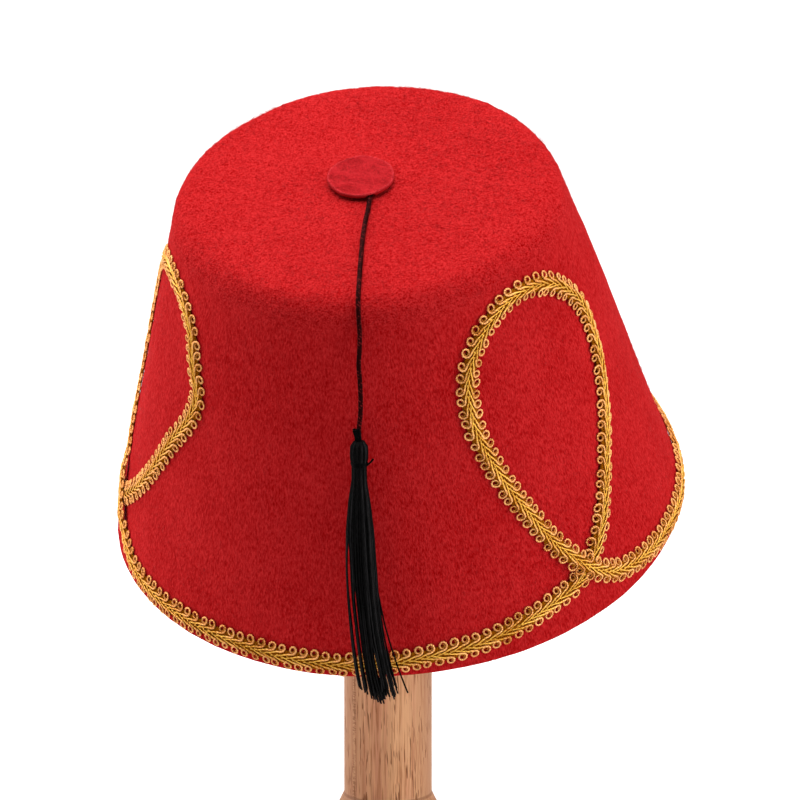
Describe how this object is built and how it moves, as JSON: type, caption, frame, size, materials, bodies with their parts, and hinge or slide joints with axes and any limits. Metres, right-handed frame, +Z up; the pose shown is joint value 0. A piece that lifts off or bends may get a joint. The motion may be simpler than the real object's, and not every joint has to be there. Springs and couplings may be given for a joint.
{
  "type": "fez hat on a wooden stand",
  "caption": "Tapered felt cap with a flat crown, looped gimp braid on its wall, a felt button and a hanging tassel, on a turned stand.",
  "frame": {"origin": "centre of the stand's underside, on the post's axis", "axes": "+Z up along the post; the hat's front, with the tassel, faces -Y; +X is to the right seen from the front"},
  "size_m": [0.1905, 0.2024, 0.2754],
  "materials": {
    "red_felt": "napped wool felt",
    "gold_gimp": "glossy gold twisted cord, scrolled",
    "button_felt": "pressed felt, mottled",
    "black_thread": "black rayon thread and twisted cord",
    "oak": "turned, open-grained, unvarnished"
  },
  "bodies": {
    "root": {"felt_shell": "red_felt", "gold_braid": "gold_gimp", "felt_button": "button_felt", "tassel_cord": "black_thread", "tassel": "black_thread", "stand_post": "oak", "stand_base": "oak", "stand_knob": "oak"}
  },
  "joints": []
}
